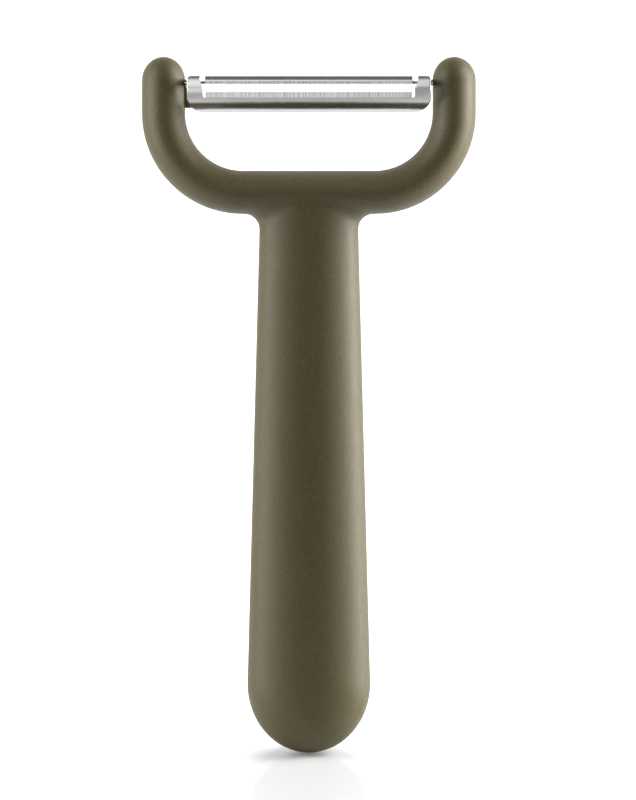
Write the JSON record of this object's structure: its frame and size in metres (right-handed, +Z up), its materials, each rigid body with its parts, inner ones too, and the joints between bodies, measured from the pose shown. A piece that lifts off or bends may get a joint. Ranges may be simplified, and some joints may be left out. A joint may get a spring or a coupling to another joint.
{
  "type": "vegetable peeler",
  "caption": "Y-shaped vegetable peeler: a moulded handle that forks into two arms, with a slotted steel blade that swivels between the arm tips.",
  "frame": {"origin": "on the swing plane, straight below the middle of the handle, at the lowest point of the round butt", "axes": "+Z runs up the handle to the arm tips, +X runs to the right across the fork, -Y points out of the face held towards the viewer in the picture"},
  "size_m": [0.0702, 0.018, 0.146],
  "materials": {
    "handle_plastic": "dark olive-brown moulded plastic, matte with a very fine texture and a broad pale sheen",
    "blade_steel": "stainless sheet steel, satin, with fine upright grinding marks on the cutting facet"
  },
  "bodies": {
    "handle": {"handle_fork": "handle_plastic"},
    "blade": {"swivel_blade": "blade_steel"}
  },
  "joints": [
    {"name": "blade_swivel", "type": "hinge", "parent": "handle", "child": "blade", "pos_m": [0, 0, 0.1406], "axis": [-1, 0, 0], "range_deg": [0, 180]}
  ]
}
